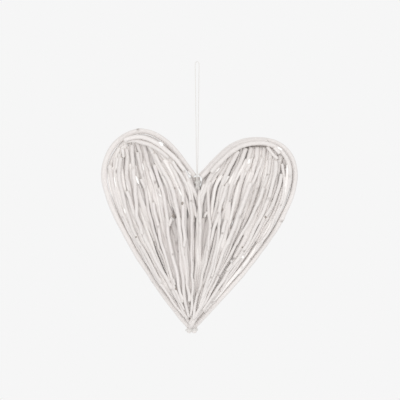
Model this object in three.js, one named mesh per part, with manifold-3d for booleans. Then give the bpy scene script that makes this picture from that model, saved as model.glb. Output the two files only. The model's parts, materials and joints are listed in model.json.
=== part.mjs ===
// A wicker heart of white-washed willow rods that hangs on a loop of string. Millimetres, +Z up, and the front
// faces -Y. The origin is the inside top of the string loop, where the heart is held up.
import * as THREE from 'three';
import { mergeVertices } from 'three/addons/utils/BufferGeometryUtils.js';
import Module from 'manifold-3d';

// Hanging cord
const CORD_DIAMETER = 1.5;
const CORD_SIDES = 8;
const CORD_STEPS = 2; // to each stretch between two points of its route
const LOOP_DROP = 199; // from the inside top of the loop down to the cleft
// One strand of the loop, from the knot up to the middle of the bend; the other mirrors it
const CORD_ROUTE = [
  [-1.1, -5.6, -209.6], [-1.1, -5.5, -204], [-0.9, -5, -190], [-1.3, -3.8, -170], [-1.7, -2.4, -140],
  [-2.1, -1.2, -105], [-2.5, -0.5, -70], [-2.9, -0.1, -40], [-3.2, 0, -20], [-3.4, 0, -9],
  [-3.3, 0, -3.2], [-2.2, 0, -0.5], [0, 0, 0.75],
];

// Heart: the cleft lies straight under the loop, and the tip leans a little to the left
const TIP_DROP = 267; // from the cleft down to where the two rims meet
const TIP_LEAN = 9.6;
const BUTT_LENGTH = 11; // the two cut ends below the meeting of the rims
const CLEFT_HALF_GAP = 5.5; // from the middle to the middle of each rim's end
const CLEFT_RISE = -2;

// Rod diameters
const RIM_DIAMETER = 9.6;
const ARCH_DIAMETER = 7.4;
const FILL_DIAMETER = 7;
const FILL_SPREAD = 0.1; // share by which the filling rods differ from one another
const FILL_TAPER = 0.74; // a rod's foot as a share of its top
const BACK_DIAMETER = 7.4;
const CROSSING_DIAMETER = 6;
const PEG_DIAMETER = 8.4;

// Clearance between rods that touch
const CLEARANCE = 0.3;

// How a rod bends over what it crosses: how strongly it is drawn back to the middle against its own stiffness,
// and how often its heights are worked over
const FLOOR_PULL = 0.06;
const BEND_SWEEPS = 240;
const LIFT_PASSES = 20;
const EASING_PASSES = 12;
const CURVE_STEPS = 40; // to each drawn curve
const ARCH_STEP = 3; // between the points from which an arch rod's line is taken
const TOUCH_PITCH = 2.5;

// Distances between a rod's stations, and the sides of the thicker rods and of the windings
const RIM_PITCH = 16;
const ARCH_PITCH = 14;
const FILL_PITCH = 30;
const BACK_PITCH = 42;
const RIM_SIDES = 8;
const ROD_SIDES = 6;
const WINDING_SIDES = 5;
const WINDING_STEPS = 14; // twice an odd number, so that a long winding is straight between its two ends

// The filling under the arches
const FAN_DROP = 33; // from the top of a rim down to where the fan is spread out across its lobe
const BACK_RODS = 10; // to each half, pressed into one bundle
const BACK_LAYER = 5.5; // every other back rod lies this far behind the next
const BACK_FOOT_RISE = 40; // the lowest back foot above the tip, and how much higher the next ones end
const BACK_FOOT_STEP = 26;
const BACK_LEAN = 0.07; // how far across its half a back rod leans, to the left and to the right by turns
const BACK_GATHER = 0.7; // how far the back feet are drawn in to the seam
const BACK_FOOT_LEVELS = 3;

// Each lobe: places from the cleft, angles in degrees, how far inside the rim the filling starts, and how far
// each bend reaches along the rim
const LEFT = {
  side: -1, name: 'left', topOut: 99, topRise: 77, wideOut: 164, wideRise: 0, cleftAngle: 55, tipAngle: 47,
  topInset: 20, flankReach: [44, 39], shoulderReach: [32, 45], lowerReach: [71, 47],
};
const RIGHT = {
  side: 1, name: 'right', topOut: 105, topRise: 62, wideOut: 172, wideRise: -2, cleftAngle: 45, tipAngle: 49,
  topInset: 13, flankReach: [48, 49], shoulderReach: [43, 41], lowerReach: [86, 54],
};

// Cutting lists of the filling, in the order the rods are laid. Each row holds the rod's place across its half
// at the top and at the waist, from 0 beside the rim to 1 beside the seam, then its foot's distance from the
// seam and its foot's height above the tip, both in millimetres.
const LEFT_RODS = [
  [0.05, 0.05, 20, 26], [0.15, 0.14, 32, 48], [0.25, 0.26, 45, 66], [0.34, 0.38, 44, 84],
  [0.46, 0.53, 22, 56], [0.58, 0.67, 26, 86], [0.68, 0.78, 14, 104], [0.78, 0.87, 9, 128],
  [0.88, 0.97, 4, 96], [0.19, 0.21, 63, 114], [0.3, 0.32, 34, 88], [0.73, 0.84, 6, 109],
  [0.63, 0.74, 18, 153], [0.83, 0.9, 4, 185], [0.93, 0.93, -3, 192], [1.02, 0.97, -4, 209],
  [0.52, 0.6, 0, 38], [0.4, 0.45, 0, 24], [0.1, 0.1, 6, 37], [0, 0, 2, 6],
];
const RIGHT_RODS = [
  [0.04, 0.04, 34, 42], [0.14, 0.12, 48, 64], [0.28, 0.31, 52, 86], [0.4, 0.41, 46, 104],
  [0.52, 0.5, 30, 70], [0.64, 0.64, 22, 92], [0.76, 0.78, 9, 52], [0.89, 0.91, 5, 112],
  [0.09, 0.16, 111, 167], [0, 0.08, 110, 147], [0.24, 0.27, 70, 123], [0.46, 0.46, 49, 130],
  [0.95, 0.92, 7, 160], [0.84, 0.86, 8, 96], [0.7, 0.75, 13, 54], [0.56, 0.57, 23, 68],
  [0.35, 0.36, 27, 60], [0.78, 0.81, 7, 33], [0.18, 0.22, 19, 28], [0.99, 0.99, 2, 24],
  [0.65, 0.7, -3, 5],
];

// Arch rods follow a stretch of the rim, from share to share of its length, at a changing distance inside it
const LEFT_UPPER_ARCH = { from: 0.035, to: 0.3, insets: [8, 9, 13, 11, 7] };
const LEFT_LOWER_ARCH = { from: 0.1, to: 0.29, insets: [16, 20, 20, 11] };
const RIGHT_ARCH = { from: 0.03, to: 0.78, insets: [9.2, 8.2, 5.5, 7.5, 10.5, 9.6, 8.6, 6.5] };
const RIGHT_FLANK = { from: 0, to: 0.26, insets: [3, 3.5, 3, 2] };
const BACK_ARCH = { from: 0.04, to: 0.4, insets: [9, 11, 12, 11, 9] };
const CROSSING_ROD = { from: [18, -13], to: [36, -34] }; // out from the right lobe's top, and up from it
const CROSSING_PITCH = 9;

// The peg that stands in the cleft, the knot round it and the tie round the two butts
const PEG_OUT = 1;
const PEG_LENGTH = 30;
const KNOT_THREAD = 1.9;
const KNOT_TURNS = 2;
const KNOT_STEP = 0.85; // turns lie closer than a thread, because they are drawn tight
const KNOT_DROP = 1.2; // from the peg's top down to the knot
const TIE_THREAD = 1.7;
const TIE_DROP = 5.5;

const WILLOW = { color: 0xcfc9c1, roughness: 0.78, metalness: 0 };
const STRING = { color: 0xd9d5cd, roughness: 0.9, metalness: 0 };

const { clamp, degToRad, lerp, mapLinear, seededRandom } = THREE.MathUtils;
const wasm = await Module();
wasm.setup();
const heart = new THREE.Group();
seededRandom(7);

function addPiece(name, geometry, look = WILLOW) {
  const piece = new THREE.Mesh(geometry, new THREE.MeshStandardMaterial(look));
  piece.name = name;
  heart.add(piece);
}

// Drawing of the rims, in the plane of the heart

const flat = (x, z) => new THREE.Vector2(x, z);
const seamAt = (z) => mapLinear(z, -LOOP_DROP, -LOOP_DROP - TIP_DROP, 0, -TIP_LEAN);

function rimCurves(half) {
  const { side } = half;
  const buttOut = side * (RIM_DIAMETER + CLEARANCE) / 2;
  const cleft = flat(side * CLEFT_HALF_GAP, CLEFT_RISE - LOOP_DROP);
  const top = flat(side * half.topOut, half.topRise - LOOP_DROP);
  const wide = flat(side * half.wideOut, half.wideRise - LOOP_DROP);
  const tip = flat(buttOut - TIP_LEAN, -LOOP_DROP - TIP_DROP);
  const slant = (angle, reach) => flat(side * Math.cos(degToRad(angle)), Math.sin(degToRad(angle)))
    .multiplyScalar(reach);
  const span = (a, aHandle, bHandle, b) => new THREE.CubicBezierCurve(a, aHandle.add(a), bHandle.add(b), b);
  return {
    flank: span(cleft, slant(half.cleftAngle, half.flankReach[0]), flat(-side * half.flankReach[1], 0), top),
    shoulder: span(top, flat(side * half.shoulderReach[0], 0), flat(0, half.shoulderReach[1]), wide),
    lower: span(wide, flat(0, -half.lowerReach[0]), slant(half.tipAngle, half.lowerReach[1]), tip),
  };
}

function spaced(points, pitch) {
  const line = new THREE.CurvePath();
  for (let i = 1; i < points.length; i += 1) line.add(new THREE.LineCurve(points[i - 1], points[i]));
  return line.getSpacedPoints(Math.max(2, Math.round(line.getLength() / pitch)));
}

function joined(...curves) {
  return curves.flatMap((curve, i) => curve.getPoints(CURVE_STEPS).slice(i ? 1 : 0));
}

function rimLine(half) {
  const { flank, shoulder, lower } = rimCurves(half);
  return joined(flank, shoulder, lower);
}

// A line at a distance inside the rim; insetAt gives the distance for a share of the line's length
function insetLine(line, side, insetAt) {
  return line.map((point, i) => {
    const ahead = line[Math.min(i + 1, line.length - 1)];
    const along = ahead.clone().sub(line[Math.max(i - 1, 0)]).normalize();
    const inset = insetAt(i / (line.length - 1));
    return flat(point.x + side * along.y * inset, point.y - side * along.x * inset);
  });
}

function stepped(values, share) {
  const place = clamp(share, 0, 1) * (values.length - 1);
  const i = Math.min(Math.floor(place), values.length - 2);
  return lerp(values[i], values[i + 1], place - i);
}

function archLine(half, arch) {
  const whole = spaced(rimLine(half), ARCH_STEP);
  const part = whole.slice(Math.round(arch.from * whole.length), Math.round(arch.to * whole.length));
  return insetLine(part, half.side, (share) => stepped(arch.insets, share));
}

// The fan of a half: where a rod lies at a height, for its place across from the rim to the seam

function fanOf(half) {
  const { side } = half;
  const { flank, shoulder, lower } = rimCurves(half);
  const inset = (RIM_DIAMETER + FILL_DIAMETER) / 2 + CLEARANCE;
  const outer = insetLine(joined(shoulder, lower), side, () => inset);
  const inner = insetLine(joined(flank), side, () => inset).reverse();
  const end = inner.at(-1); // from here the fan's inner side runs on in line with the flank, until the seam
  inner.push(end.clone().addScaledVector(end.clone().sub(inner.at(-2)).normalize(), TIP_DROP));
  const acrossAt = (line, z) => {
    const i = line.findIndex((point, k) => k + 1 < line.length && point.y >= z && line[k + 1].y <= z);
    if (i < 0) return z > line[0].y ? line[0].x : line.at(-1).x;
    return mapLinear(z, line[i].y, line[i + 1].y, line[i].x, line[i + 1].x);
  };
  return (share, z) => {
    const seam = seamAt(z) + side * FILL_DIAMETER / 2;
    return lerp(acrossAt(outer, z), side * Math.max(side * acrossAt(inner, z), side * seam), share);
  };
}

// A springy rod takes no sharp turn, so its line is evened out between its two ends
function eased(points) {
  for (let pass = 0; pass < EASING_PASSES; pass += 1) {
    for (let i = 1; i + 1 < points.length; i += 1) points[i].x = (points[i - 1].x + points[i + 1].x) / 2;
  }
  return points;
}

// Each rod starts under the arch rods, so its top follows the lobe
function topHeight(half, x) {
  const { flank, shoulder } = rimCurves(half);
  const line = insetLine(joined(flank, shoulder), half.side, () => half.topInset);
  return line.reduce((near, point) => (Math.abs(point.x - x) < Math.abs(near.x - x) ? point : near)).y;
}

function fillLine(half, fan, [top, waist, footOut, footRise]) {
  const spreadZ = half.topRise - LOOP_DROP - FAN_DROP;
  const topZ = topHeight(half, fan(top, spreadZ));
  const footZ = footRise - TIP_DROP - LOOP_DROP;
  const pull = seamAt(footZ) + half.side * footOut - fan(waist, footZ);
  const points = [];
  for (let i = 0; i <= CURVE_STEPS; i += 1) {
    const t = i / CURVE_STEPS;
    const z = lerp(topZ, footZ, t);
    const share = waist + (top - waist) * (1 - t) ** 3;
    points.push(flat(fan(share, Math.min(z, spreadZ)) + pull * t ** 5, z));
  }
  return eased(points);
}

// Laying rods on one another. A pile grows forwards or backwards from the middle plane, and each rod laid on
// it rises just clear of the rods that it crosses, and bends no more sharply than its wood lets it.

function nearestOn(point, a, b) {
  const along = b.clone().sub(a);
  const share = clamp(point.clone().sub(a).dot(along) / along.lengthSq(), 0, 1);
  return { share, distance: a.clone().addScaledVector(along, share).distanceTo(point) };
}

function heightNeeded(pile, point, radius, bundle) {
  let needed = -Infinity;
  for (const { line, heights, radii, ...laid } of pile) {
    if (bundle && laid.bundle === bundle) continue;
    for (let i = 0; i + 1 < line.length; i += 1) {
      const { share, distance } = nearestOn(point, line[i], line[i + 1]);
      const apart = radius + lerp(radii[i], radii[i + 1], share) + CLEARANCE;
      if (distance >= apart) continue;
      const laidAt = lerp(heights[i], heights[i + 1], share);
      needed = Math.max(needed, laidAt + Math.sqrt(apart ** 2 - distance ** 2));
    }
  }
  return needed;
}

// Where a station of a springy rod comes to rest between its neighbours, when the rod is drawn towards the
// floor. Its ends are bound level, so past each end the rod counts as mirrored.
function restHeight(heights, i, floor) {
  const last = heights.length - 1;
  const mirrored = (k) => (k < 0 ? -k : Math.min(k, 2 * last - k));
  let pull = FLOOR_PULL * floor;
  let weight = FLOOR_PULL;
  for (let middle = Math.max(0, i - 1); middle <= Math.min(last, i + 1); middle += 1) {
    const bent = [mirrored(middle - 1), middle, middle, mirrored(middle + 1)];
    const signs = [1, -1, -1, 1];
    let own = 0;
    let others = 0;
    bent.forEach((k, j) => {
      if (k === i) own += signs[j];
      else others += signs[j] * heights[k];
    });
    pull -= own * others;
    weight += own ** 2;
  }
  return pull / weight;
}

function layOn(pile, line, radii, floor, bundle) {
  const lowest = line.map(() => floor);
  const touches = [];
  for (let i = 0; i + 1 < line.length; i += 1) {
    const steps = Math.ceil(line[i].distanceTo(line[i + 1]) / TOUCH_PITCH);
    for (let k = 0; k <= steps; k += 1) {
      const share = k / steps;
      const point = line[i].clone().lerp(line[i + 1], share);
      const needed = heightNeeded(pile, point, lerp(radii[i], radii[i + 1], share), bundle);
      if (needed > floor) touches.push({ i, share, needed });
      if (k === 0) lowest[i] = Math.max(floor, needed);
    }
  }
  const heights = [...lowest];
  for (let sweep = 0; sweep < BEND_SWEEPS; sweep += 1) {
    lowest.forEach((height, i) => { heights[i] = Math.max(height, restHeight(heights, i, floor)); });
  }
  for (let pass = 0; pass < LIFT_PASSES; pass += 1) {
    for (const { i, share, needed } of touches) {
      const lack = Math.max(0, needed - lerp(heights[i], heights[i + 1], share));
      const short = lack / ((1 - share) ** 2 + share ** 2);
      heights[i] += short * (1 - share);
      heights[i + 1] += short * share;
    }
  }
  pile.push({ line, heights, radii, bundle });
  return heights;
}

// A closed round rod along its stations, as a tapered cylinder bent to them

function rodGeometry(stations, radii, sides) {
  const last = stations.length - 1;
  const geometry = new THREE.CylinderGeometry(1, 1, 1, sides, last);
  geometry.deleteAttribute('normal');
  geometry.deleteAttribute('uv');
  const position = geometry.getAttribute('position');
  const depth = new THREE.Vector3(0, 1, 0);
  const frames = stations.map((station, i) => {
    const tangent = stations[Math.min(i + 1, last)].clone().sub(stations[Math.max(i - 1, 0)]).normalize();
    const across = new THREE.Vector3().crossVectors(tangent, depth).normalize();
    return { station, across, up: new THREE.Vector3().crossVectors(across, tangent), radius: radii[i] };
  });
  for (let k = 0; k < position.count; k += 1) {
    const { station, across, up, radius } = frames[Math.round((0.5 - position.getY(k)) * last)];
    const place = station.clone().addScaledVector(across, position.getX(k) * radius);
    place.addScaledVector(up, -position.getZ(k) * radius);
    position.setXYZ(k, place.x, place.y, place.z);
  }
  return mergeVertices(geometry);
}

function layRod(pile, line, { width, floor = 0, facing = -1, sides = ROD_SIDES, bundle }) {
  const radii = line.map((point, i) => width(i / (line.length - 1)) / 2);
  const heights = layOn(pile, line, radii, floor, bundle);
  const stations = line.map((point, i) => new THREE.Vector3(point.x, facing * heights[i], point.y));
  return rodGeometry(stations, radii, sides);
}

// Rims and peg: they lie in the middle plane, and the rims end in straight butts side by side

const frontPile = [];
const backPile = [];

// The peg's top rests against the nearer rim end
const pegReach = (RIM_DIAMETER + PEG_DIAMETER) / 2 + CLEARANCE;
const pegTop = CLEFT_RISE - LOOP_DROP - Math.sqrt(pegReach ** 2 - (CLEFT_HALF_GAP - PEG_OUT) ** 2);
const knotTop = pegTop - KNOT_DROP;

function makeRim(half) {
  const line = spaced(rimLine(half), RIM_PITCH);
  const tip = line.at(-1);
  line.push(flat(tip.x, tip.y - BUTT_LENGTH));
  addPiece(`rim_rod_${half.name}`, layRod(frontPile, line, { width: () => RIM_DIAMETER, sides: RIM_SIDES }));
  backPile.push(frontPile.at(-1));
}

function makePeg() {
  const line = [flat(PEG_OUT, pegTop), flat(PEG_OUT, pegTop - PEG_LENGTH)];
  addPiece('cleft_peg', layRod(frontPile, line, { width: () => PEG_DIAMETER, sides: RIM_SIDES }));
  backPile.push(frontPile.at(-1));
}

// Windings of string: the knot round the peg and the tie round the two butts

function windingRadius(held, thread) {
  return (held + thread) / 2 + CLEARANCE;
}

function windingGeometry(held, thread, x, z, halfSpread = 0) {
  const radius = windingRadius(held, thread);
  const ring = new THREE.TorusGeometry(radius, thread / 2, WINDING_SIDES, WINDING_STEPS);
  ring.deleteAttribute('normal');
  ring.deleteAttribute('uv');
  const position = ring.getAttribute('position');
  for (let k = 0; k < position.count; k += 1) {
    position.setX(k, position.getX(k) + (position.getX(k) > 0 ? halfSpread : -halfSpread));
  }
  return mergeVertices(ring.translate(x, 0, z));
}

function makeKnot() {
  const turns = [];
  const step = KNOT_THREAD * KNOT_STEP;
  for (let turn = 0; turn < KNOT_TURNS; turn += 1) {
    const z = knotTop - KNOT_THREAD / 2 - turn * step;
    turns.push(solidOf(windingGeometry(PEG_DIAMETER, KNOT_THREAD, PEG_OUT, z)));
  }
  addPiece('cord_knot', geometryOf(turns.reduce((whole, turn) => whole.add(turn))), STRING);
  const outer = windingRadius(PEG_DIAMETER, KNOT_THREAD) + KNOT_THREAD / 2;
  const line = [flat(PEG_OUT, knotTop), flat(PEG_OUT, knotTop - KNOT_THREAD - step * (KNOT_TURNS - 1))];
  for (const pile of [frontPile, backPile]) pile.push({ line, heights: [0, 0], radii: [outer, outer] });
}

function makeTie() {
  const halfSpread = (RIM_DIAMETER + CLEARANCE) / 2;
  const z = -LOOP_DROP - TIP_DROP - TIE_DROP;
  addPiece('tip_tie', windingGeometry(RIM_DIAMETER, TIE_THREAD, -TIP_LEAN, z, halfSpread), STRING);
}

// Filling

function fillWidth(size) {
  return (share) => size * lerp(1, FILL_TAPER, share);
}

function makeFilling(half, rows) {
  const fan = fanOf(half);
  rows.forEach((row, i) => {
    const size = FILL_DIAMETER * (1 + FILL_SPREAD * (2 * seededRandom() - 1));
    const name = `fill_rod_${half.name}_${String(i + 1).padStart(2, '0')}`;
    const line = spaced(fillLine(half, fan, row), FILL_PITCH);
    addPiece(name, layRod(frontPile, line, { width: fillWidth(size) }));
  });
}

function makeArch(name, half, arch, { diameter = ARCH_DIAMETER, ...options } = {}) {
  const pile = options.facing === 1 ? backPile : frontPile;
  const line = spaced(archLine(half, arch), ARCH_PITCH);
  const floor = (diameter + CLEARANCE) / 2;
  addPiece(name, layRod(pile, line, { width: () => diameter, floor, ...options }));
}

function makeCrossingRod() {
  const place = ([out, rise]) => flat(RIGHT.topOut + out, RIGHT.topRise + rise - LOOP_DROP);
  const ends = [place(CROSSING_ROD.from), place(CROSSING_ROD.to)];
  const line = spaced(ends, CROSSING_PITCH);
  const options = { width: () => CROSSING_DIAMETER, floor: (CROSSING_DIAMETER + CLEARANCE) / 2 };
  addPiece('crossing_rod_right', layRod(frontPile, line, options));
}

// Back filling: each half's rods are pressed into one bundle

function solidOf(geometry) {
  const vertProperties = geometry.getAttribute('position').array;
  const mesh = { numProp: 3, vertProperties, triVerts: geometry.index.array };
  return new wasm.Manifold(new wasm.Mesh(mesh));
}

function geometryOf(solid) {
  const { vertProperties, triVerts } = solid.getMesh();
  const geometry = new THREE.BufferGeometry();
  geometry.setAttribute('position', new THREE.BufferAttribute(vertProperties, 3));
  geometry.setIndex(new THREE.BufferAttribute(triVerts, 1));
  return geometry;
}

function makeBackFilling(half) {
  const fan = fanOf(half);
  const name = `back_rods_${half.name}`;
  const front = (FILL_DIAMETER * (1 + FILL_SPREAD) + BACK_DIAMETER) / 2 + CLEARANCE;
  const rods = [];
  for (let i = 0; i < BACK_RODS; i += 1) {
    const share = (i + 0.5) / BACK_RODS;
    const lean = i % 2 ? BACK_LEAN : -BACK_LEAN;
    const footRise = BACK_FOOT_RISE + BACK_FOOT_STEP * (i % BACK_FOOT_LEVELS);
    const footZ = footRise - TIP_DROP - LOOP_DROP;
    const footOut = half.side * (fan(share, footZ) - seamAt(footZ)) * BACK_GATHER;
    const line = spaced(fillLine(half, fan, [share - lean, share + lean, footOut, footRise]), BACK_PITCH);
    const floor = front + BACK_LAYER * (i % 2);
    const options = { width: fillWidth(BACK_DIAMETER), floor, facing: 1, bundle: name };
    rods.push(solidOf(layRod(backPile, line, options)));
  }
  addPiece(name, geometryOf(rods.reduce((whole, rod) => whole.add(rod))));
}

// The hanging loop: from the knot up to the origin and back, with its steps close together where it bends

function makeCord() {
  const strand = CORD_ROUTE.map(([x, y, z]) => new THREE.Vector3(x, y, z));
  const back = strand.slice(0, -1).reverse().map((point) => new THREE.Vector3(-point.x, point.y, point.z));
  const route = new THREE.CatmullRomCurve3([...strand, ...back]);
  route.getUtoTmapping = (share) => share;
  const ring = Array.from({ length: CORD_SIDES }, (none, i) => {
    const angle = i / CORD_SIDES * 2 * Math.PI;
    return flat(Math.cos(angle) * CORD_DIAMETER / 2, Math.sin(angle) * CORD_DIAMETER / 2);
  });
  const steps = (strand.length + back.length - 1) * CORD_STEPS;
  const sweep = { steps, extrudePath: route, bevelEnabled: false };
  const tube = new THREE.ExtrudeGeometry(new THREE.Shape(ring), sweep);
  addPiece('hanging_cord', tube, STRING);
}

makeRim(LEFT);
makeRim(RIGHT);
makePeg();
makeKnot();
makeArch('flank_rod_right', RIGHT, RIGHT_FLANK, { diameter: RIM_DIAMETER, sides: RIM_SIDES });
makeFilling(LEFT, LEFT_RODS);
makeFilling(RIGHT, RIGHT_RODS);
makeArch('arch_rod_left_lower', LEFT, LEFT_LOWER_ARCH);
makeArch('arch_rod_left_upper', LEFT, LEFT_UPPER_ARCH);
makeCrossingRod();
makeArch('arch_rod_right', RIGHT, RIGHT_ARCH);
makeBackFilling(LEFT);
makeBackFilling(RIGHT);
makeArch('back_arch_rod_left', LEFT, BACK_ARCH, { facing: 1 });
makeArch('back_arch_rod_right', RIGHT, BACK_ARCH, { facing: 1 });
makeTie();
makeCord();

export default heart;
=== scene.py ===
"""A wicker heart of white-washed willow rods on a loop of string. Metres, +Z up, the front faces -Y."""

import json
import math
import random

import bmesh
import bpy
import numpy as np
from mathutils import Matrix, Vector, noise

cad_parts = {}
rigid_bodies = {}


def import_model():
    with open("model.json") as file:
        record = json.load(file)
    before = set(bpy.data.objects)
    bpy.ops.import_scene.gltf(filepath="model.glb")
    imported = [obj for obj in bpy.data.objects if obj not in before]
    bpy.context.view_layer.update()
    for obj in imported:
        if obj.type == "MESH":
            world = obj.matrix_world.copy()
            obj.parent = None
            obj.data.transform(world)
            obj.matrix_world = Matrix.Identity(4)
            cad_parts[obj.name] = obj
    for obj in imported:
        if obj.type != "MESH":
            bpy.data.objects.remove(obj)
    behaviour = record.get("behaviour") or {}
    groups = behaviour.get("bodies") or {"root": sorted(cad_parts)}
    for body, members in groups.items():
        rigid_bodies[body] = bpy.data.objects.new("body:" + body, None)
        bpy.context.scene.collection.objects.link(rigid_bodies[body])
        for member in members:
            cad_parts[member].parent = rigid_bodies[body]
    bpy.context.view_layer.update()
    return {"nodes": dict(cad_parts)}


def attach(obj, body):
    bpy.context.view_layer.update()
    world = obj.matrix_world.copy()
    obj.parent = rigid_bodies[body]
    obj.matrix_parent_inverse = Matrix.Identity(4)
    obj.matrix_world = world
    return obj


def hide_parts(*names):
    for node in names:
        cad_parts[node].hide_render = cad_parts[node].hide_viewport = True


for leftover in list(bpy.data.objects):
    bpy.data.objects.remove(leftover)
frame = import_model()
nodes = frame["nodes"]
random.seed(11)

MM = 0.001
TAU = 2 * math.pi
HALVES = ((-1, "left"), (1, "right"))

# How many rods each half has beside those of the solid part
MIDDLE_RODS = 18
BACK_RODS = 11
UNDER_RODS = 15
FRONT_TWIGS = 12
INNER_RODS = 11

# Materials

# Brown that the mark darkens to: scars at the buds, a random tone per rod, and painted shade on rods given a
# darker tone
BUD_SCAR_TONE_AND_SHADE_BROWN = (0.13, 0.095, 0.07)


def new_material(name):
    """A material with its node tree and its shader."""
    material = bpy.data.materials.new(name)
    material.use_nodes = True
    tree = material.node_tree
    return material, tree, tree.nodes["Principled BSDF"]


def plain_material(name, colour, roughness):
    material, tree, shader = new_material(name)
    shader.inputs["Base Color"].default_value = (*colour, 1)
    shader.inputs["Roughness"].default_value = roughness
    return material


def node(tree, kind, values=(), **settings):
    """A node with its settings, and with values for its inputs."""
    made = tree.nodes.new(kind)
    for key, value in settings.items():
        setattr(made, key, value)
    for key, value in dict(values).items():
        made.inputs[key].default_value = value
    return made


def ramp(tree, source, stops):
    """A colour ramp on a value, from (place, colour) stops."""
    made = node(tree, "ShaderNodeValToRGB")
    elements = made.color_ramp.elements
    for element, (place, colour) in zip(elements, stops):
        element.position = place
        element.color = (*colour, 1)
    tree.links.new(source, made.inputs["Fac"])
    return made.outputs["Color"]


def mixed(tree, factor, a, b, mode="MIX"):
    """Two colours mixed. Each of the three inputs is a socket or a value."""
    made = node(tree, "ShaderNodeMix", data_type="RGBA", blend_type=mode)
    for socket, value in ((made.inputs["Factor"], factor), (made.inputs["A"], a), (made.inputs["B"], b)):
        if isinstance(value, bpy.types.NodeSocket):
            tree.links.new(value, socket)
        elif isinstance(value, float):
            socket.default_value = value
        else:
            socket.default_value = (*value, 1)
    return made.outputs["Result"]


def grain_noise(tree, grain, stretch, scale, detail, roughness):
    """Noise on the rod's own grain coordinates, drawn out along the rod."""
    mapping = node(tree, "ShaderNodeMapping")
    mapping.inputs["Scale"].default_value = stretch
    tree.links.new(grain, mapping.inputs["Vector"])
    made = node(tree, "ShaderNodeTexNoise", {"Scale": scale, "Detail": detail, "Roughness": roughness})
    tree.links.new(mapping.outputs["Vector"], made.inputs["Vector"])
    return made.outputs["Fac"]


def roughened(tree, shader, height, strength, distance):
    """Gives a shader a bump from a height."""
    bump = node(tree, "ShaderNodeBump", {"Strength": strength, "Distance": distance})
    tree.links.new(height, bump.inputs["Height"])
    tree.links.new(bump.outputs["Normal"], shader.inputs["Normal"])


def willow_material(name, white, worn, dirt, wear):
    """White wash over willow: lengthwise streaks of bark, soft grey blotches, and brown from the mark: dark
    scars at the buds, a tone per rod, and painted shade on some rods.
    """
    material, tree, shader = new_material(name)
    grain = node(tree, "ShaderNodeAttribute", attribute_name="grain").outputs["Vector"]
    mark = node(tree, "ShaderNodeAttribute", attribute_name="mark").outputs["Fac"]
    streak = grain_noise(tree, grain, (1, 1, 0.09), scale=5.5, detail=5, roughness=0.62)
    fine = grain_noise(tree, grain, (1, 1, 0.05), scale=17, detail=3, roughness=0.6)
    blotch = grain_noise(tree, grain, (0.6, 0.6, 0.28), scale=2.3, detail=3, roughness=0.55)
    colour = mixed(tree, ramp(tree, blotch, [(0.36, (0, 0, 0)), (0.68, (1, 1, 1))]), white, worn)
    streaks = ramp(tree, streak, [(0.3, (1, 1, 1)), (0.46, (0, 0, 0))])
    colour = mixed(tree, mixed(tree, 1 - wear, streaks, (0, 0, 0)), colour, dirt)
    fines = ramp(tree, fine, [(0.28, (0.88, 0.87, 0.86)), (0.5, (1, 1, 1))])
    colour = mixed(tree, 1.0, colour, fines, "MULTIPLY")
    # The mark darkens towards brown: bud scars, a random tone per rod, and painted shade where a rod is given
    # a darker tone
    colour = mixed(tree, mark, colour, BUD_SCAR_TONE_AND_SHADE_BROWN)
    tree.links.new(colour, shader.inputs["Base Color"])
    shader.inputs["Roughness"].default_value = 0.74
    shader.inputs["Specular IOR Level"].default_value = 0.3
    roughened(tree, shader, mixed(tree, 0.45, streak, fine), strength=0.55, distance=0.8 * MM)
    return material


def string_material():
    """Twisted cotton, with fine fibres along the thread."""
    material, tree, shader = new_material("cotton_string")
    grain = node(tree, "ShaderNodeAttribute", attribute_name="grain").outputs["Vector"]
    fibre = grain_noise(tree, grain, (1, 1, 0.6), scale=9, detail=3, roughness=0.6)
    colour = ramp(tree, fibre, [(0.3, (0.66, 0.64, 0.615)), (0.7, (0.88, 0.865, 0.845))])
    tree.links.new(colour, shader.inputs["Base Color"])
    shader.inputs["Roughness"].default_value = 0.9
    shader.inputs["Sheen Weight"].default_value = 0.2
    roughened(tree, shader, fibre, strength=0.4, distance=0.3 * MM)
    return material


WILLOW = willow_material("willow", white=(0.848, 0.814, 0.796), worn=(0.805, 0.767, 0.748),
                         dirt=(0.7, 0.64, 0.6), wear=0.35)
# A lighter copy of the willow for the rods deep in the heart (middle, back and under rods): painted light,
# which lightens their shade between the front rods
DEEP_WILLOW_PAINTED_LIGHTER = willow_material("deep_willow_painted_lighter", white=(0.95, 0.92, 0.9), worn=(0.92, 0.885, 0.865),
                              dirt=(0.8, 0.745, 0.71), wear=0.3)
# A lighter copy of the willow, with fewer streaks, for the peg deep in the cleft: painted light, which lifts
# its shade
SMOOTH_WILLOW_PAINTED_LIGHTER = willow_material("smooth_willow_painted_lighter", white=(0.95, 0.935, 0.92), worn=(0.92, 0.9, 0.885),
                              dirt=(0.8, 0.77, 0.74), wear=0.15)
CUT_WOOD = willow_material("cut_wood", white=(0.92, 0.89, 0.86), worn=(0.86, 0.82, 0.78),
                           dirt=(0.66, 0.58, 0.5), wear=0.3)
# Dark paint for the flecks at the holes between the rods: painted shade
HOLE_SHADE = plain_material("painted_hole_shade", (0.34, 0.3, 0.27), roughness=0.9)
BARE = plain_material("bare_wood", (0.97, 0.955, 0.94), roughness=0.8)
STRING = string_material()

# Lines, each a list of places with the radius at each

# How many edges meet at each corner round a cut end of a packed rod
RIM_EDGES = 5
# Over how many points from each end a rod's small bends set in
STEADY_ENDS = 4
# A rounded foot: how long it is, how long its last rounding is, and in how many steps
FOOT_LENGTH = 0.012
FOOT_ROUNDING = 0.0035
FOOT_STEPS = 12


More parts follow.
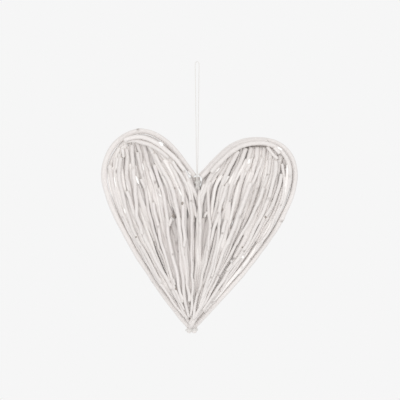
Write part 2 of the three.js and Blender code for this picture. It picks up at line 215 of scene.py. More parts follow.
def stations_of(name):
    """The centreline and radii of a packed rod: its rings of corners, from one cut end to the other."""
    bm = bmesh.new()
    bm.from_mesh(nodes[name].data)
    bmesh.ops.remove_doubles(bm, verts=bm.verts, dist=1e-6)
    valence = {v: len(v.link_edges) for v in bm.verts}
    ends = [v for v in bm.verts if all(valence[e.other_vert(v)] == RIM_EDGES for e in v.link_edges)]
    start = max(ends, key=lambda v: v.co.z)
    seen = {start}
    ring = [start]
    stations = []
    while ring:
        beyond = {e.other_vert(v) for v in ring for e in v.link_edges} - seen
        seen.update(beyond)
        ring = sorted(beyond, key=lambda v: v.index)
        if len(ring) > 2:
            centre = sum((v.co for v in ring), Vector()) / len(ring)
            stations.append((centre, sum((v.co - centre).length for v in ring) / len(ring)))
    bm.free()
    return stations


def smooth_line(stations, pitch):
    """Points at about one pitch on a Catmull-Rom curve through the stations, each with its radius."""
    points = [p for p, r in stations]
    radii = [r for p, r in stations]
    ahead = [2 * points[0] - points[1], *points, 2 * points[-1] - points[-2]]
    line = []
    for i in range(len(points) - 1):
        a, b, c, d = ahead[i:i + 4]
        steps = max(1, round((c - b).length / pitch))
        for k in range(steps):
            t = k / steps
            place = 0.5 * (2 * b + (c - a) * t + (2 * a - 5 * b + 4 * c - d) * t * t
                           + (3 * b - a - 3 * c + d) * t ** 3)
            line.append((place, radii[i] + (radii[i + 1] - radii[i]) * t))
    line.append((points[-1], radii[-1]))
    return line


def straight(top, foot, steps):
    """The points of a straight line in so many steps."""
    return [Vector(top).lerp(Vector(foot), k / steps) for k in range(steps + 1)]


def length_of(line):
    return sum((b[0] - a[0]).length for a, b in zip(line, line[1:]))


def tapered(line, foot):
    """Thins a line evenly, down to a share of its radius at the foot."""
    last = len(line) - 1
    return [(p, r * (1 + (foot - 1) * i / last)) for i, (p, r) in enumerate(line)]


def softened(line, passes):
    """Takes the sharp bends out of a line. Both ends keep their place."""
    points = [p for p, r in line]
    for _ in range(passes):
        points = [points[0]] + [(points[i - 1] + 2 * points[i] + points[i + 1]) / 4
                                for i in range(1, len(points) - 1)] + [points[-1]]
    return [(p, r) for p, (q, r) in zip(points, line)]


def wander(along, seed, lane, waves):
    """A smooth wander by seeded chance, with so many waves a metre."""
    return noise.noise(Vector((along * waves, seed, lane)))


def wavy(line, seed, amount):
    """Small bends and thicker places of the wood. Both ends keep their place."""
    last = len(line) - 1
    bent = []
    along = 0.0
    for i, (place, radius) in enumerate(line):
        if i:
            along += (place - line[i - 1][0]).length
        fade = min(1, i / STEADY_ENDS, (last - i) / STEADY_ENDS)
        slow = wander(along, seed, 3, waves=16)
        kink = abs(wander(along, seed, 9, waves=24)) - 0.2
        depth = wander(along, seed, 27, waves=20)
        thick = 1 + 0.07 * wander(along, seed, 40, waves=30)
        shift = Vector((slow + 1.5 * kink, 0.35 * depth, 0)) * amount * fade
        bent.append((place + shift, radius * thick))
    return bent


def rounded_foot(line):
    """Draws the last millimetres of a rod in to a narrower, worn and rounded end."""
    foot, radius = line[-1]
    along = (foot - line[-2][0]).normalized()
    kept = [(p, r) for p, r in line if (foot - p).dot(along) > FOOT_LENGTH]
    for k in range(1, FOOT_STEPS + 1):
        left = FOOT_LENGTH * (1 - k / FOOT_STEPS)
        share = max(0, 1 - left / FOOT_ROUNDING)
        narrow = (1 - 0.14 * k / FOOT_STEPS) * (1 - 0.42 * share ** 2.4)
        kept.append((foot - along * left, radius * narrow))
    return kept


# Tubes and rods

# The length of rod that one unit of the grain pattern covers
GRAIN_LENGTH = 0.004
# How high the quick ridges of the bark are beside the slow ones
QUICK_RIDGES = 0.6
# Buds: the first one from the top, half a bud's length and how many such lengths its swelling fades over, how
# much it swells at least and at most, and how dark its scar is
FIRST_BUD = 0.02
BUD_HALF_LENGTH = 0.0042
BUD_REACH = 2.5
BUD_SWELLINGS = (0.1, 0.24)
BUD_SCAR_DARK = 0.6
# The slightly domed cut end of a rod: how far inside the bark the dome starts, and how high it is
CUT_RIM = 0.0006
CUT_DOME = 0.0004


def tube(line, sides, shape):
    """A tube on a line, open at both ends. shape(along, angle) scales each corner and says how dark it is."""
    bm = bmesh.new()
    grain = bm.verts.layers.float_vector.new("grain")
    mark = bm.verts.layers.float.new("mark")
    corners = bmesh.ops.create_grid(bm, x_segments=sides, y_segments=len(line) - 1, size=0.5)["verts"]
    rings = {}
    for v in corners:
        i = round((v.co.y + 0.5) * (len(line) - 1))
        k = round((v.co.x + 0.5) * sides)
        rings.setdefault(i, {})[k] = v
    seed = random.uniform(0, 100)
    backwards = Vector((0, 1, 0))
    along = 0.0
    for i, (centre, radius) in enumerate(line):
        tangent = (line[min(i + 1, len(line) - 1)][0] - line[max(i - 1, 0)][0]).normalized()
        across = tangent.cross(backwards).normalized()
        up = across.cross(tangent)
        if i:
            along += (centre - line[i - 1][0]).length
        for k in range(sides + 1):
            angle = TAU * k / sides
            scale, dark = shape(along, angle)
            v = rings[i][k]
            v.co = centre + (across * math.sin(angle) + up * math.cos(angle)) * radius * scale
            v[grain] = Vector((math.sin(angle), math.cos(angle), along / GRAIN_LENGTH + seed))
            v[mark] = dark
    bmesh.ops.remove_doubles(bm, verts=corners, dist=1e-7)
    for face in bm.faces:
        face.smooth = True
    return bm


def close_ends(bm, sides):
    rims = [e for e in bm.edges if e.is_boundary]
    return bmesh.ops.holes_fill(bm, edges=rims, sides=sides)["faces"]


def finish_piece(name, bm, materials, replaced):
    """Makes the piece's object, which rides the root and stands for the nodes that it replaces."""
    bmesh.ops.recalc_face_normals(bm, faces=bm.faces)
    mesh = bpy.data.meshes.new(name)
    bm.to_mesh(mesh)
    bm.free()
    for material in materials:
        mesh.materials.append(material)
    piece = bpy.data.objects.new(name, mesh)
    bpy.context.scene.collection.objects.link(piece)
    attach(piece, "root")
    if replaced:
        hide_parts(*replaced)
    return piece


def ridge(x, y, along, seed, around, waves):
    """How high a rod's bark stands at a place, by seeded chance, with so many waves round it and a metre."""
    return noise.noise(Vector((x * around, y * around, along * waves + seed)))


def rod_shape(seed, buds, ridges, tone, flat):
    """How a willow rod departs from round: ridges along it, and a swelling with a scar at each bud. How dark
    each corner is: the scar at each bud, and the rod's tone, which holds painted shade where a darker tone is
    given.
    """
    def shape(along, angle):
        x, y = math.sin(angle), math.cos(angle)
        slow = ridge(x, y, along, seed, around=1.4, waves=14)
        quick = ridge(x, y, along, seed + 40, around=3.1, waves=45)
        scale = flat / math.hypot(flat * x, y) + ridges * slow + QUICK_RIDGES * ridges * quick
        dark = tone
        for place, turn, size in buds:
            away = (along - place) / BUD_HALF_LENGTH
            side = math.cos(angle - turn)
            if abs(away) < BUD_REACH:
                scale += size * math.exp(-away * away) * (0.35 + 0.65 * max(0, side))
                dark += BUD_SCAR_DARK * math.exp(-((away - 0.9) / 0.4) ** 2) * max(0, side) ** 3
        return scale, min(1, dark)
    return shape


def buds_along(length, every):
    """The buds of a rod: how far along each is, on which side and how large."""
    buds = []
    place = random.uniform(FIRST_BUD, every)
    while place < length:
        buds.append((place, random.uniform(0, TAU), random.uniform(*BUD_SWELLINGS)))
        place += random.uniform(0.5, 1.5) * every
    return buds


def rod(name, stations, replaced=(), sides=12, pitch=0.004, bend=0.0009, thick=1.0, material=WILLOW,
        ridges=0.05, buds_every=0.1, round_foot=False, tone=0.0, soften=0, flat=1.0):
    """A willow rod on its stations, with bark, buds and small bends, and with pale wood at its cut ends."""
    seed = random.uniform(0, 1000)
    line = wavy(softened(smooth_line(stations, pitch), soften), seed, bend)
    if round_foot:
        line = rounded_foot(line)
    buds = buds_along(length_of(line), buds_every)
    shape = rod_shape(seed, buds, ridges, tone + random.uniform(0, 0.08), flat)
    bm = tube([(p, r * thick) for p, r in line], sides, shape)
    caps = close_ends(bm, sides)
    for cap in caps:
        cap.material_index = 1
        cap.smooth = False
    bmesh.ops.inset_region(bm, faces=caps, thickness=CUT_RIM, depth=CUT_DOME, use_even_offset=True)
    return finish_piece(name, bm, [material, CUT_WOOD], replaced)


# The fan of each half, whose rods run down from the lobe to the tip

CLEFT_Z = -0.199
TIP_Z = -0.466
TIP_X = -0.0096
# How far the outermost and innermost rods lie from the rim, its inner flank and the seam
RIM_INSET = 0.0088
FLANK_INSET = 0.01188
SEAM_INSET = 0.0022
SEAM_OVERLAP = 0.001
CLEFT_ROUNDING = 0.014
# How far under a lobe's top the rods begin to run straight up, and how far down the lobe's arch reaches
FAN_DROP = 0.033
LOBE_HEIGHT = 0.05
# The slow bends of a fan rod: waves a metre, how far they go, and the step along the rod
FAN_WAVES = 30
FAN_SWAY = 0.0015
FAN_STEP = 0.006
# The step along the rims, and along the rods of the heap
LINE_STEP = 0.003
RIM_LINES = {side: [p for p, r in smooth_line(stations_of(f"rim_rod_{half}"), LINE_STEP)]
             for side, half in HALVES}


def seam_at(z):
    return TIP_X * (z - CLEFT_Z) / (TIP_Z - CLEFT_Z)


def across_at(line, z, side, outermost):
    """Where a line crosses a height, at its outermost or innermost crossing, or None."""
    found = [a.x + (b.x - a.x) * (z - a.z) / (b.z - a.z)
             for a, b in zip(line, line[1:]) if a.z != b.z and (a.z - z) * (b.z - z) <= 0]
    return (max if outermost else min)(found, key=lambda x: x * side) if found else None


def fan(side, share, z):
    """Where a rod lies at a height, for its place across a half: 0 beside the rim, 1 beside the seam."""
    line = RIM_LINES[side]
    z = min(z, max(p.z for p in line) - FAN_DROP)
    outer = across_at(line, z, side, True) - side * RIM_INSET
    flank = line[:len(line) // 3]
    end, before = flank[0], flank[6]
    inner = across_at(flank, z, side, False)
    if inner is None:
        inner = end.x + (end.x - before.x) / (end.z - before.z) * (z - end.z)
    beside_flank = side * inner + FLANK_INSET
    beside_seam = side * seam_at(z) + SEAM_INSET
    blend = math.hypot(beside_flank - beside_seam, CLEFT_ROUNDING)
    inner = side * (beside_flank + beside_seam + blend) / 2 - side * SEAM_OVERLAP
    return outer + (inner - outer) * share


def clamped(share):
    return min(1, max(0, share))


def fan_line(side, top, foot, top_z, foot_z):
    """A rod's line in the plane of the heart, from its top share to its foot share, with slow bends."""
    seed = random.uniform(0, 100)
    count = max(4, round((top_z - foot_z) / FAN_STEP))
    points = []
    for i in range(count + 1):
        t = i / count
        z = top_z + (foot_z - top_z) * t
        x = fan(side, top + (foot - top) * t, z)
        sway = wander(t * (top_z - foot_z), seed, 0.5, waves=FAN_WAVES)
        points.append(Vector((x + FAN_SWAY * sway, 0, z)))
    return points


def top_under_arch(side, share, inset):
    """The height at which a rod of that share starts, a distance inside the lobe's rim."""
    line = RIM_LINES[side]
    highest = max(p.z for p in line)
    x = fan(side, share, highest)
    near = min((p for p in line if p.z > highest - LOBE_HEIGHT), key=lambda p: abs(p.x - x))
    return near.z - inset


# The heap of rods that others rest on

# Where a rod or a fleck lies with nothing under it, and how far forward a rod's centre may come
HEAP_FRONT = -0.008
FLECK_FRONT = -0.012
FRONT_LIMIT = -0.0325
# How far a twig may sink into what it rests on, and how often it is drawn straight
SAG = 0.0012
STRAIGHTENINGS = 30


class Heap:
    """The rods laid so far, as short stretches, so that a twig can be laid on top of them."""

    def __init__(self):
        self.places = []

    def add(self, stations):
        line = smooth_line(stations, LINE_STEP)
        self.places.append(np.array([(p.x, p.z, p.y, r) for p, r in line]))

    def front(self, x, z, radius, bite):
        """The y of a twig's centre where it rests on the heap's front, or None where nothing is under it."""
        best = None
        for places in self.places:
            apart = places[:, 3] + radius
            away = np.hypot(places[:, 0] - x, places[:, 1] - z)
            near = away < apart * 0.98
            if near.any():
                y = (places[near, 2] - np.sqrt(apart[near] ** 2 - away[near] ** 2) + bite).min()
                best = y if best is None else min(best, y)
        return best


heap = Heap()


def laid_on_heap(points, radius, bite=0.0012):
    """Rests a line on the heap: it touches the high places and spans the low ones, as a springy twig does."""
    found = [heap.front(p.x, p.z, radius, bite) for p in points]
    known = [y for y in found if y is not None]
    base = sorted(known)[len(known) // 2] if known else HEAP_FRONT
    heights = [base if y is None else y for y in found]
    lowest = list(heights)
    for _ in range(STRAIGHTENINGS):
        for i in range(1, len(points) - 1):
            heights[i] = min(0.5 * (heights[i - 1] + heights[i + 1]), lowest[i] + SAG)
    for _ in range(2):
        heights = [heights[0]] + [(heights[i - 1] + 2 * heights[i] + heights[i + 1]) / 4
                                  for i in range(1, len(heights) - 1)] + [heights[-1]]
    return [(Vector((p.x, max(FRONT_LIMIT, y), p.z)), radius) for p, y in zip(points, heights)]


# The rods, layer by layer


def dressed_rods():
    """The rods of the solid part, with bark, buds and small bends. All but the back arches go on the heap."""
    for name in sorted(nodes):
        if name.startswith(("hanging", "cord_knot", "tip_tie", "back_rods")):
            continue
        stations = stations_of(name)
        if not name.startswith("back_arch"):
            heap.add(stations)
        piece = "willow_" + name
        if name.startswith("fill_rod"):
            rod(piece, stations, [name], thick=random.uniform(0.98, 1.3), bend=0.003, soften=50)
        elif name.startswith(("arch_rod", "crossing_rod")):
            rod(piece, stations, [name], thick=1.04, bend=0.0018)
        elif name.startswith("back_arch"):
            rod(piece, stations, [name], thick=1.04)
        elif name.startswith(("rim_rod", "flank")):
            rod(piece, stations, [name], sides=16, ridges=0.07, buds_every=0.4,
                round_foot=name.startswith("rim_rod"))
        else:
            # The rest, such as the peg in the cleft, take the willow painted lighter against their shade
            rod(piece, stations, [name], sides=16, bend=0.0, ridges=0.02, buds_every=1, material=SMOOTH_WILLOW_PAINTED_LIGHTER)


def backing_rod(side, half):
    """A rod just inside the rim, behind the arches, which closes the gap beside the rim."""
    inset = 0.0092
    depth = 0.0035
    radius = 0.0039
    start = 0.05
    stop = 0.9
    stride = 3
    line = RIM_LINES[side]
    stations = []
    for i in range(round(start * len(line)), round(stop * len(line)), stride):
        along = (line[min(i + stride, len(line) - 1)] - line[max(i - stride, 0)]).normalized()
        inward = Vector((along.z, 0, -along.x)) * side
        stations.append((line[i] + inward * inset + Vector((0, depth, 0)), radius))
    # Its fixed darker tone is painted shade, for the rod in shade behind the arches
    rod(f"backing_rod_{half}", stations, bend=0.0012, tone=0.1)


def middle_rods(side, half):
    """Rods between the two faces, which close the heart."""
    radius = 0.0041
    for i in range(MIDDLE_RODS):
        share = (i + 0.5) / MIDDLE_RODS * 1.015 - 0.015
        foot = clamped(share + random.uniform(-0.06, 0.06))
        high = top_under_arch(side, share, random.choice((0.015, 0.015, 0.045)))
        points = fan_line(side, share, foot, high, TIP_Z + random.uniform(0.006, 0.03))
        depth = random.uniform(0.0015, 0.0045)
        stations = [(Vector((p.x, depth, p.z)), radius) for p in points]
        rod(f"middle_rod_{half}_{i + 1:02d}", tapered(stations, 0.6), sides=10, pitch=0.006,
            material=DEEP_WILLOW_PAINTED_LIGHTER)


def back_rods(side, half):
    """The rods of the back, in two layers that lean across one another."""
    radius = 0.0042
    for i in range(BACK_RODS):
        share = (i + 0.5) / BACK_RODS
        lean = 0.05 if i % 2 else -0.05
        high = top_under_arch(side, share, 0.015)
        points = fan_line(side, share - lean, share + lean, high, TIP_Z + 0.02 + 0.02 * (i % 3))
        depth = 0.0085 + 0.005 * (i % 2)
        stations = [(Vector((p.x, depth, p.z)), radius) for p in points]
        replaced = [f"back_rods_{half}"] if i == 0 else ()
        rod(f"back_rod_{half}_{i + 1:02d}", tapered(stations, 0.7), replaced, sides=10, pitch=0.006,
            material=DEEP_WILLOW_PAINTED_LIGHTER)


# Rods along the seam: place beside it at the top, depth and radius
SEAM_RODS = [(0.0, 0.0015, 0.0036), (0.0035, -0.004, 0.0028), (-0.004, -0.0045, 0.003)]
SEAM_TOP = CLEFT_Z - 0.022
SEAM_FOOT = TIP_Z + 0.004
SEAM_STEPS = 29
SEAM_SWAY = 0.0012


def seam_rods():
    """Rods along the seam, from the peg to the tip."""
    for i, (x, depth, radius) in enumerate(SEAM_RODS):
        stations = []
        for k in range(SEAM_STEPS + 1):
            z = SEAM_TOP - k / SEAM_STEPS * (SEAM_TOP - SEAM_FOOT)
            sway = SEAM_SWAY * noise.noise(Vector((k * 0.35, i * 7.3, 2.0)))
            stations.append((Vector((seam_at(z) + x * (1 - k / 40) + sway, depth, z)), radius))
        heap.add(stations)
        rod(f"seam_rod_{i + 1}", tapered(stations, 0.75), sides=10)


def under_rods(side, half):
    """Rods just under the front ones, which show between them."""
    for i in range(UNDER_RODS):
        share = (i + 0.5) / UNDER_RODS
        foot = clamped(share + random.uniform(-0.08, 0.08))
        high = top_under_arch(side, share, random.uniform(0.03, 0.07))
        points = fan_line(side, share, foot, high, TIP_Z + random.uniform(0.012, 0.05))
        line = laid_on_heap(points, 0.0038, bite=0.0078)
        rod(f"under_rod_{half}_{i + 1:02d}", tapered(line, 0.75), sides=10, pitch=0.006,
            material=DEEP_WILLOW_PAINTED_LIGHTER)


# Short rods beside and behind the peg, which close the cleft: top, foot and radius
CLEFT_RODS = [
    ((-0.0135, -0.003, -0.2045), (0.0002, -0.001, -0.242), 0.0038),
    ((0.0135, 0.005, -0.2035), (0.003, 0.005, -0.245), 0.0038),
    ((0.0008, 0.0086, -0.2025), (-0.0015, 0.0086, -0.3), 0.0042),
    ((-0.0065, 0.0078, -0.2035), (-0.003, 0.0078, -0.285), 0.004),
]

# The rod that crosses the tip in front: top, foot and radius
TIP_ROD = ((0.011, 0, -0.42), (-0.0125, 0, -0.4675), 0.0036)

# Broad split rods that lie flat in the filling: top, foot and half the width. Then their depth as a share of
# the width, how far they bow and in how many steps
SPLIT_RODS = [
    ((-0.0685, 0, -0.222), (-0.019, 0, -0.355), 0.0068), ((0.021, 0, -0.276), (0.006, 0, -0.366), 0.0062),
    ((0.055, 0, -0.246), (0.032, 0, -0.356), 0.0066), ((-0.112, 0, -0.2), (-0.078, 0, -0.29), 0.0056),
    ((0.104, 0, -0.262), (0.066, 0, -0.345), 0.0056),
]
SPLIT_FLAT = 0.4
SPLIT_BOW = 0.004
SPLIT_STEPS = 24


def cleft_rods():
    for i, (top, foot, radius) in enumerate(CLEFT_RODS):
        line = [(p, radius) for p in straight(top, foot, 9)]
        rod(f"cleft_rod_{i + 1}", tapered(line, 0.85))


def tip_rod():
    top, foot, radius = TIP_ROD
    line = laid_on_heap(straight(top, foot, 10), radius)
    heap.add(line)
    rod("tip_rod", line, bend=0.0006, round_foot=True)


def split_rods():
    """Broad rods, split and laid flat, a little bowed and narrower at both ends."""
    for i, (top, foot, half_width) in enumerate(SPLIT_RODS):
        bow = SPLIT_BOW * (-1) ** i
        points = [p + Vector((bow * math.sin(math.pi * k / SPLIT_STEPS), 0, 0))
                  for k, p in enumerate(straight(top, foot, SPLIT_STEPS))]
        line = laid_on_heap(points, half_width * SPLIT_FLAT, bite=0.0022)
        heap.add(line)
        widths = [0.45 + 0.55 * math.sin(math.pi * (0.06 + 0.88 * k / SPLIT_STEPS)) ** 0.5
                  for k in range(SPLIT_STEPS + 1)]
        line = [(p, half_width * width) for (p, r), width in zip(line, widths)]
        rod(f"split_rod_{i + 1}", line, sides=20, bend=0.001, flat=SPLIT_FLAT, buds_every=0.2)


def front_twigs(side, half):
    """Twigs worked in over the front at a slight slant, which break up the fan."""
    for i in range(FRONT_TWIGS):
        share = (i + 0.5) / FRONT_TWIGS + random.uniform(-0.03, 0.03)
        lean = random.choice((-1, 1)) * random.uniform(0.02, 0.08)
        length = random.uniform(0.11, 0.27)
        high = top_under_arch(side, share, 0.02)
        start = high - random.uniform(0, 1) ** 0.7 * (high - 0.012 - TIP_Z - length)
        points = fan_line(side, clamped(share - lean), clamped(share + lean), start, start - length)
        line = tapered(laid_on_heap(points, random.uniform(0.0029, 0.0039)), 0.75)
        heap.add(line)
        rod(f"front_twig_{half}_{i + 1:02d}", line, sides=10, bend=0.0024, ridges=0.06)


def inner_rods(side, half):
    """Rods deep in the slits between the front ones, which lighten them."""
    for i in range(INNER_RODS):
        share = 0.42 + 0.58 * (i + 0.5) / INNER_RODS
        points = fan_line(side, share, share, -0.275 - 0.01 * (i % 3), TIP_Z + 0.018 + 0.006 * (i % 2))
        line = laid_on_heap(points, 0.0034, bite=0.0125)
        # Their slightly darker tone is painted shade, for rods deep in the slits
        rod(f"inner_rod_{half}_{i + 1:02d}", tapered(line, 0.7), sides=10, pitch=0.006, tone=0.04)


# Cut ends, painted shade at holes, and bare wood

# Short cut ends of side shoots, in millimetres: place across and below the loop, length, radius, direction in
# degrees from straight down, and how far the cut end stands forward
STUBS = [
    (-130, -160, 15, 3, 8, 3), (-95, -214, 17, 3.25, 25, 4), (-47, -282, 13, 3, -20, 4),
    (89, -186, 13, 3.5, -30, 4), (57, -361, 14, 3.25, -38, 4), (140, -156, 13, 3.75, 40, 3),
    (-66, -228, 9, 2.5, 20, 3), (15, -268, 9, 2.5, -25, 3), (80, -358, 10, 2.5, -35, 3),
    (-41, -386, 10, 2.75, 20, 3),
]
# How deep a stub lies in the heap, how far it is set back as a whole, and in how many steps it curves forward
STUB_BITE = 0.0028
STUB_SETBACK = 0.0012
STUB_STEPS = 5

# Dark flecks of painted shade where holes between the rods show, in millimetres: place and size
PAINTED_HOLE_SHADES = [
    (-118, -158, 2.6), (-42, -271, 3), (-35, -284, 2.8), (-46, -289, 2.6), (-26, -249, 2.8),
    (-107, -308, 1.8), (-77, -319, 1.8), (-32, -333, 2.4), (16, -266, 2.6), (44, -260, 2), (58, -273, 2),
    (120, -273, 2.4), (60, -352, 3.2), (53, -366, 2.4), (79, -326, 2.2), (79, -359, 2.4),
    (-65, -236, 2.2), (-37, -398, 2.4),
]
# Half the depth of a fleck of painted shade, and how far it is set back into the bark
HOLE_SHADE_DEPTH = 0.0008
HOLE_SHADE_SETBACK = 0.0002

# Slanting cuts that show bare pale wood, in millimetres: place, half length, half width, degrees from upright
BARE_CUTS = [
    (-64, -145, 5.5, 3.2, 60), (-130, -158, 4.8, 2, 18), (-105, -208, 8, 2, 20), (-95, -185, 7, 1.4, 14),
    (-144, -211, 10, 1.4, 12), (144, -153, 6, 2.4, 62), (91, -176, 5.4, 2.4, -10), (158, -190, 9.5, 1.6, 4),
    (87, -210, 5.4, 1.7, -35), (61, -352, 3.8, 2.4, 40), (80, -343, 3, 2.2, 0), (-65, -234, 3.8, 2, 40),
    (-30, -229, 7, 1.4, 22), (-43, -276, 4, 2.2, 30), (-127, -262, 5, 1.3, 18), (36, -190, 5, 1.6, -40),
    (-14, -196, 4.6, 2.2, 42),
]
# Half the depth of a cut, and how far beside its middle its place on the heap is felt for, in millimetres
CUT_DEPTH = 0.0011
CUT_REACH = 1.5
# The radius with which the heap's front is felt for
TOUCH = 0.0001


def cut_stubs():
    """Short cut ends of side shoots, which stand forward from the heap."""
    for i, (x, z, length, radius, turn, lift) in enumerate(STUBS):
        angle = math.radians(turn)
        along = Vector((math.sin(angle), 0, -math.cos(angle)))
        start = Vector((x * MM, 0, z * MM)) - along * length * MM / 2
        places = [start + along * length * MM * k / STUB_STEPS for k in range(STUB_STEPS + 1)]
        level = min(heap.front(p.x, p.z, radius * MM, STUB_BITE) or FLECK_FRONT for p in places)
        line = []
        for k, place in enumerate(places):
            y = level - lift * MM * (k / STUB_STEPS) ** 2 + STUB_SETBACK
            line.append((Vector((place.x, y, place.z)), radius * MM * (1 - 0.04 * k)))
        rod(f"cut_stub_{i + 1:02d}", line, pitch=0.002, bend=0, buds_every=1)


def add_fleck(bm, place, size, turn, subdivisions):
    """A flat rounded fleck on the heap, with its size across, in depth and upright, and its turn."""
    made = bmesh.ops.create_icosphere(bm, subdivisions=subdivisions, radius=1)["verts"]
    bmesh.ops.scale(bm, verts=made, vec=size)
    bmesh.ops.rotate(bm, verts=made, matrix=Matrix.Rotation(turn, 3, "Y"))
    bmesh.ops.translate(bm, verts=made, vec=place)


def finish_flecks(name, bm, material):
    for face in bm.faces:
        face.smooth = True
    finish_piece(name, bm, [material], ())


# Dark flecks of painted shade at the holes between the rods
def painted_hole_shades():
    bm = bmesh.new()
    for x, z, size in PAINTED_HOLE_SHADES:
        y = heap.front(x * MM, z * MM, TOUCH, 0) or FLECK_FRONT
        add_fleck(bm, (x * MM, y + HOLE_SHADE_SETBACK, z * MM), (size * 0.8 * MM, HOLE_SHADE_DEPTH, size * 1.1 * MM),
                  random.uniform(-0.5, 0.5), subdivisions=2)
    finish_flecks("painted_hole_shades", bm, HOLE_SHADE)


def bare_cuts():
    bm = bmesh.new()
    for x, z, length, width, turn in BARE_CUTS:
        found = [heap.front((x + dx) * MM, z * MM, TOUCH, 0) for dx in (-CUT_REACH, 0, CUT_REACH)]
        y = min([f for f in found if f is not None] or [FLECK_FRONT])
        add_fleck(bm, (x * MM, y, z * MM), (width * MM, CUT_DEPTH, length * MM), -math.radians(turn),
                  subdivisions=3)
    finish_flecks("bare_cuts", bm, BARE)


# All steps draw from one seeded chance, so the order of these calls settles every rod
dressed_rods()
for side, half in HALVES:
    backing_rod(side, half)
for side, half in HALVES:
    middle_rods(side, half)
    back_rods(side, half)
seam_rods()
for side, half in HALVES:
    under_rods(side, half)
cleft_rods()
tip_rod()
split_rods()
for side, half in HALVES:
    front_twigs(side, half)
cut_stubs()
painted_hole_shades()
bare_cuts()
for side, half in HALVES:
    inner_rods(side, half)

# String

# The route of one strand as in the solid part, in millimetres, and the other strand as its mirror image
CORD_ROUTE = [
    (-1.1, -5.6, -209.6), (-1.1, -5.5, -204), (-0.9, -5, -190), (-1.3, -3.8, -170), (-1.7, -2.4, -140),
    (-2.1, -1.2, -105), (-2.5, -0.5, -70), (-2.9, -0.1, -40), (-3.2, 0, -20), (-3.4, 0, -9),
    (-3.3, 0, -3.2), (-2.2, 0, -0.5), (0, 0, 0.75),
]
CORD_DIAMETER = 1.5 * MM
# Steps along the loop and along wound string, corners round the string, and the length from ply to ply
CORD_STEP = 0.0018
WOUND_STEP = 0.0008
STRING_SIDES = 10
PLY_LENGTH = 0.0045
# Points in one turn of wound string, and in its tail
TURN_POINTS = 28
TAIL_POINTS = 8


def ply_shape(along, angle):
    """Two plies twisted round one another."""
    return 0.86 + 0.14 * abs(math.cos(angle - along / PLY_LENGTH * TAU / 2)), 0.0


def string_piece(name, line, replaced):
    bm = tube(line, STRING_SIDES, ply_shape)
    close_ends(bm, STRING_SIDES)
    return finish_piece(name, bm, [STRING], [replaced])


def wound_string(name, replaced, thread, turns, step, narrower, tail=0.0):
    """String wound round what the plain ring of the solid part holds, at the ring's place and size."""
    corners = [v.co for v in nodes[replaced].data.vertices]
    low = Vector(min(p[i] for p in corners) for i in range(3))
    high = Vector(max(p[i] for p in corners) for i in range(3))
    centre = (low + high) / 2
    deep = (high.y - low.y) / 2 - thread / 2 - narrower
    spread = (high.x - low.x) / 2 - thread / 2 - narrower - deep
    line = []
    for k in range(turns * TURN_POINTS + 1):
        angle = TAU * k / TURN_POINTS
        drop = step * (k / TURN_POINTS - turns / 2)
        slant = 0.25 * thread * math.sin(angle + 0.6 * (k // TURN_POINTS))
        x = deep * math.sin(angle) + spread * math.tanh(3 * math.sin(angle))
        line.append((centre + Vector((x, -deep * math.cos(angle), -drop + slant)), thread / 2))
    if tail:
        last = line[-1][0]
        for k in range(1, TAIL_POINTS + 1):
            share = k / TAIL_POINTS
            hang = Vector((0.0022 * share ** 0.6, -0.0012 * math.sin(share * 3), -tail * share))
            line.append((last + hang, thread / 2 * (1 + 0.05 * k)))
    return string_piece(name, smooth_line(line, WOUND_STEP), replaced)


route = [Vector(p) * MM for p in CORD_ROUTE]
route += [Vector((-p.x, p.y, p.z)) for p in reversed(route[:-1])]
cord_line = smooth_line([(p, CORD_DIAMETER / 2) for p in route], CORD_STEP)
cord = string_piece("string_loop", cord_line, "hanging_cord")
knot = wound_string("wound_knot", "cord_knot", 0.0017, 3, 0.0015, narrower=0.0002, tail=0.009)
wound_string("wound_tie", "tip_tie", 0.0014, 3, 0.0013, narrower=0.0006)

# Stage, light and camera

# The photo's width, the size of one of its pixels at the heart, and the place in its middle
PHOTO_PIXELS = 400
PIXEL = 1.76 * MM
CENTRE = Vector((5 * MM, 0, -243 * MM))
CAMERA_DISTANCE = 4.0
SENSOR = 36
PAPER_GREY = (0.922, 0.922, 0.922, 1)


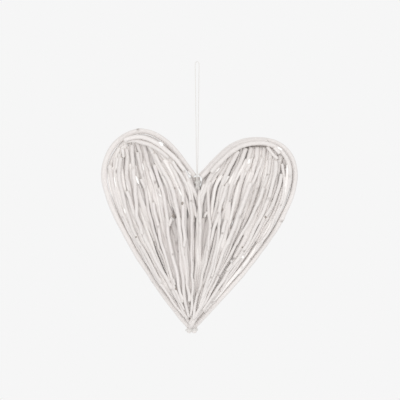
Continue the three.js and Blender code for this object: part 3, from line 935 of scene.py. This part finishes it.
def stage_floor():
    """A round sheet of paper below and behind the heart."""
    mesh = bpy.data.meshes.new("floor")
    bm = bmesh.new()
    bmesh.ops.create_circle(bm, cap_ends=True, segments=96, radius=1.3)
    bm.to_mesh(mesh)
    bm.free()
    mesh.materials.append(plain_material("paper", (0.93, 0.93, 0.93), roughness=0.9))
    floor = bpy.data.objects.new("floor", mesh)
    floor.location = (0, 0.1, -0.78)
    bpy.context.scene.collection.objects.link(floor)


def studio_world():
    """Even soft light from all sides, behind which the camera sees plain paper."""
    world = bpy.data.worlds.new("studio")
    bpy.context.scene.world = world
    world.use_nodes = True
    tree = world.node_tree
    seen_paper = tree.nodes["Background"]
    seen_paper.inputs["Color"].default_value = PAPER_GREY
    soft_light = node(tree, "ShaderNodeBackground", {"Color": PAPER_GREY, "Strength": 0.885})
    choice = node(tree, "ShaderNodeMixShader")
    tree.links.new(node(tree, "ShaderNodeLightPath").outputs["Is Camera Ray"], choice.inputs["Fac"])
    tree.links.new(soft_light.outputs["Background"], choice.inputs[1])
    tree.links.new(seen_paper.outputs["Background"], choice.inputs[2])
    tree.links.new(choice.outputs["Shader"], tree.nodes["World Output"].inputs["Surface"])


def area_light(name, place, size, power):
    light = bpy.data.lights.new(name, "AREA")
    light.shape = "SQUARE"
    light.size = size
    light.energy = power
    lamp = bpy.data.objects.new(name, light)
    lamp.location = place
    lamp.rotation_euler = (CENTRE - Vector(place)).to_track_quat("-Z", "Y").to_euler()
    bpy.context.scene.collection.objects.link(lamp)


def photo_camera():
    """Looks straight at the front, with the photo's scale at the heart."""
    data = bpy.data.cameras.new("camera")
    data.sensor_width = SENSOR
    data.lens = SENSOR * CAMERA_DISTANCE / (PHOTO_PIXELS * PIXEL)
    data.clip_end = 50
    camera = bpy.data.objects.new("camera", data)
    camera.location = CENTRE + Vector((0, -CAMERA_DISTANCE, 0))
    camera.rotation_euler = (math.pi / 2, 0, 0)
    bpy.context.scene.collection.objects.link(camera)
    bpy.context.scene.camera = camera


stage_floor()
bpy.context.scene.view_settings.view_transform = "Standard"
studio_world()
area_light("key", (-0.5, -2.4, 0.35), 1.5, 14.5)
area_light("fill", (0.9, -2.6, -0.4), 1.5, 9)
photo_camera()
